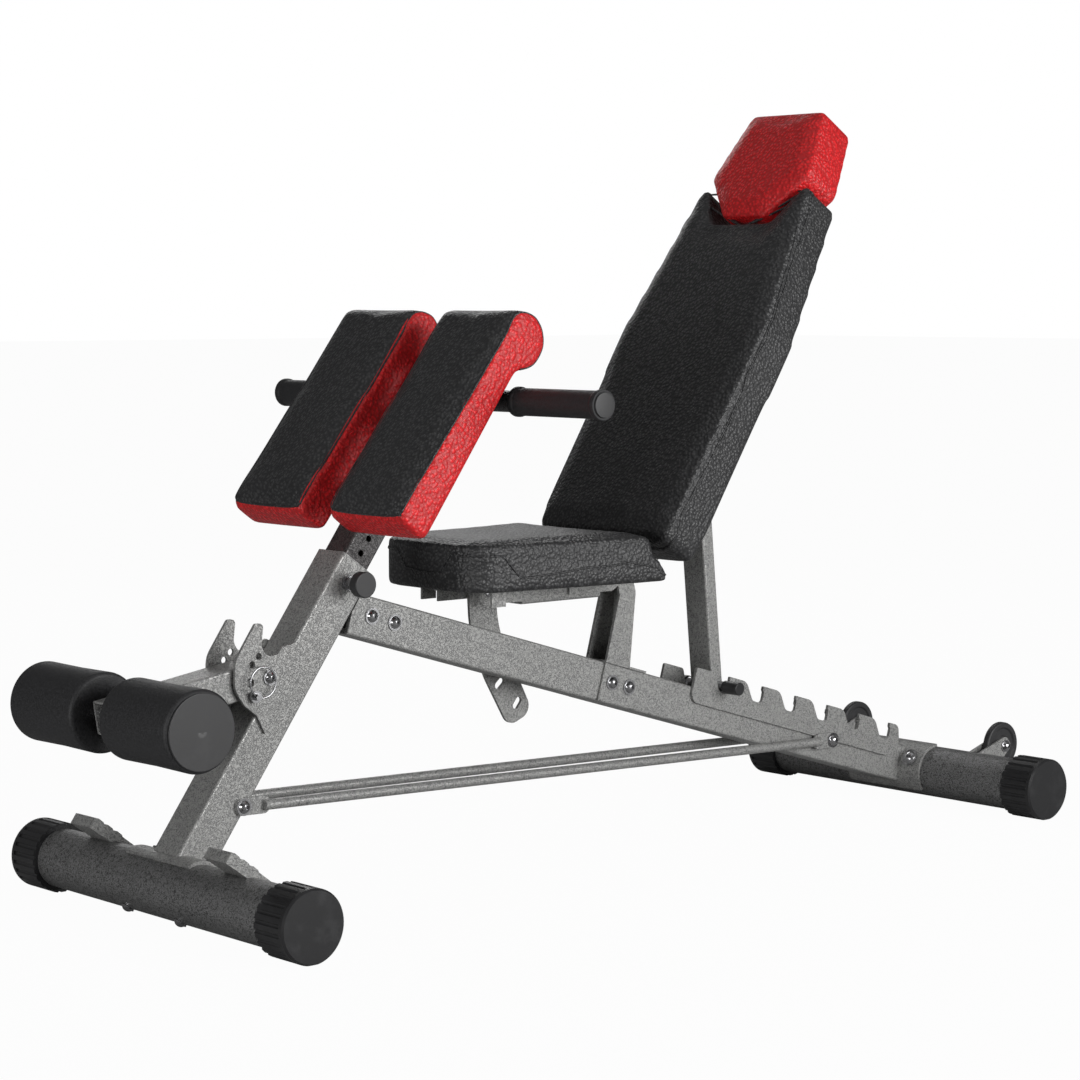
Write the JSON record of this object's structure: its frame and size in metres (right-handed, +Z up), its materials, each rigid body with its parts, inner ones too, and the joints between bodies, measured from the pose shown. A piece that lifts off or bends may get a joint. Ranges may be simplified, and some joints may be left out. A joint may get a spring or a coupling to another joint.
{
  "type": "adjustable weight bench",
  "caption": "Adjustable weight bench with a ratchet backrest, tilting seat, sliding hip pads with handles, ankle rollers, foot rests and transport wheels.",
  "frame": {"origin": "centre of the bounding box, on the floor", "axes": "+X along the bench from the ankle rollers to the wheels, +Y towards the bench's left for someone lying with the feet at the front, +Z up"},
  "size_m": [1.422, 0.598, 0.9395],
  "materials": {
    "frame_paint": "silver-grey hammertone paint",
    "slider_paint": "darker grey hammertone paint",
    "foot_paint": "dark grey hammertone paint",
    "cushion": "grained synthetic leather over foam, black with red side panels",
    "grip_foam": "closed-cell foam",
    "cap_plastic": "satin black",
    "knob_plastic": "satin black",
    "wheel_plastic": "matte black",
    "bolts": "bright zinc"
  },
  "bodies": {
    "frame": {"front_foot_tube": "foot_paint", "rear_foot_tube": "foot_paint", "front_foot_caps": "cap_plastic", "rear_foot_caps": "cap_plastic", "front_saddle": "frame_paint", "rear_saddle": "frame_paint", "foot_bolts": "bolts", "foot_rests": "frame_paint", "post_sleeve": "frame_paint", "slider_bush": "cap_plastic", "front_beam": "frame_paint", "post_lug": "frame_paint", "rear_beam": "frame_paint", "beam_joiner": "frame_paint", "joint_cap_plate": "frame_paint", "ladder_plates": "frame_paint", "brace_left": "frame_paint", "brace_right": "frame_paint", "frame_bolts": "bolts", "ankle_plates": "frame_paint", "arm_pivot_bolt": "bolts", "pin_barrel": "bolts", "pin_spring": "bolts", "seat_support": "frame_paint", "hinge_axle": "bolts", "seat_pin_mount": "frame_paint", "wheel_brackets": "frame_paint", "wheel_axles": "bolts"},
    "pad_post": {"pad_post_tube": "slider_paint", "pad_straps": "frame_paint", "hip_pad_left": "cushion", "hip_pad_right": "cushion", "post_top_cap": "cap_plastic", "handle_bar": "slider_paint", "handle_grips": "grip_foam"},
    "post_pin": {"post_pull_pin": "knob_plastic"},
    "roller_arm": {"arm_frame": "frame_paint", "roller_axle": "bolts"},
    "roller_left": {"roller_foam_left": "grip_foam", "roller_core_left": "cap_plastic"},
    "roller_right": {"roller_foam_right": "grip_foam", "roller_core_right": "cap_plastic"},
    "arm_pin": {"arm_pull_pin": "bolts"},
    "seat": {"seat_frame": "frame_paint", "seat_pad": "cushion", "seat_screws": "bolts", "seat_sector": "frame_paint"},
    "seat_pin": {"seat_pin": "knob_plastic"},
    "backrest": {"back_frame": "frame_paint", "back_pad": "cushion", "back_straps": "frame_paint", "head_pad": "cushion", "strut_bolt": "bolts"},
    "strut": {"strut": "frame_paint", "support_bar": "bolts", "bar_ends": "cap_plastic"},
    "wheel_left": {"wheel_left": "wheel_plastic"},
    "wheel_right": {"wheel_right": "wheel_plastic"}
  },
  "joints": [
    {"name": "pad_post_slide", "type": "slide", "parent": "frame", "child": "pad_post", "axis": [0.5844, 0, 0.8115], "range_m": [0, 0.12]},
    {"name": "post_pin_pull", "type": "slide", "parent": "frame", "child": "post_pin", "axis": [0, -1, 0], "range_m": [0, 0.008], "stiffness_N_per_m": 900},
    {"name": "roller_arm_swing", "type": "hinge", "parent": "frame", "child": "roller_arm", "pos_m": [-0.484, 0, 0.268], "axis": [0, 1, 0], "range_deg": [0, 75]},
    {"name": "roller_left_spin", "type": "hinge", "parent": "roller_arm", "child": "roller_left", "pos_m": [-0.6655, 0, 0.239], "axis": [0, 1, 0], "continuous": true},
    {"name": "roller_right_spin", "type": "hinge", "parent": "roller_arm", "child": "roller_right", "pos_m": [-0.6655, 0, 0.239], "axis": [0, 1, 0], "continuous": true},
    {"name": "arm_pin_pull", "type": "slide", "parent": "frame", "child": "arm_pin", "axis": [0, -1, 0], "range_m": [0, 0.03]},
    {"name": "seat_tilt", "type": "hinge", "parent": "frame", "child": "seat", "pos_m": [0.066, 0, 0.358], "axis": [0, 1, 0], "range_deg": [0, 21.6]},
    {"name": "seat_pin_pull", "type": "slide", "parent": "frame", "child": "seat_pin", "axis": [0, 1, 0], "range_m": [0, 0.008], "stiffness_N_per_m": 900},
    {"name": "backrest_lift", "type": "hinge", "parent": "frame", "child": "backrest", "pos_m": [0.066, 0, 0.358], "axis": [0, -1, 0], "range_deg": [0, 9]},
    {"name": "strut_swing", "type": "hinge", "parent": "backrest", "child": "strut", "pos_m": [0.212, 0, 0.48], "axis": [0, -1, 0], "range_deg": [-3.5, 0]},
    {"name": "wheel_left_spin", "type": "hinge", "parent": "frame", "child": "wheel_left", "pos_m": [0.679, 0, 0.08], "axis": [0, 1, 0], "continuous": true},
    {"name": "wheel_right_spin", "type": "hinge", "parent": "frame", "child": "wheel_right", "pos_m": [0.679, 0, 0.08], "axis": [0, 1, 0], "continuous": true}
  ],
  "couplings": [
    {"joint": "strut_swing", "follows": "backrest_lift", "ratio": -0.378}
  ]
}
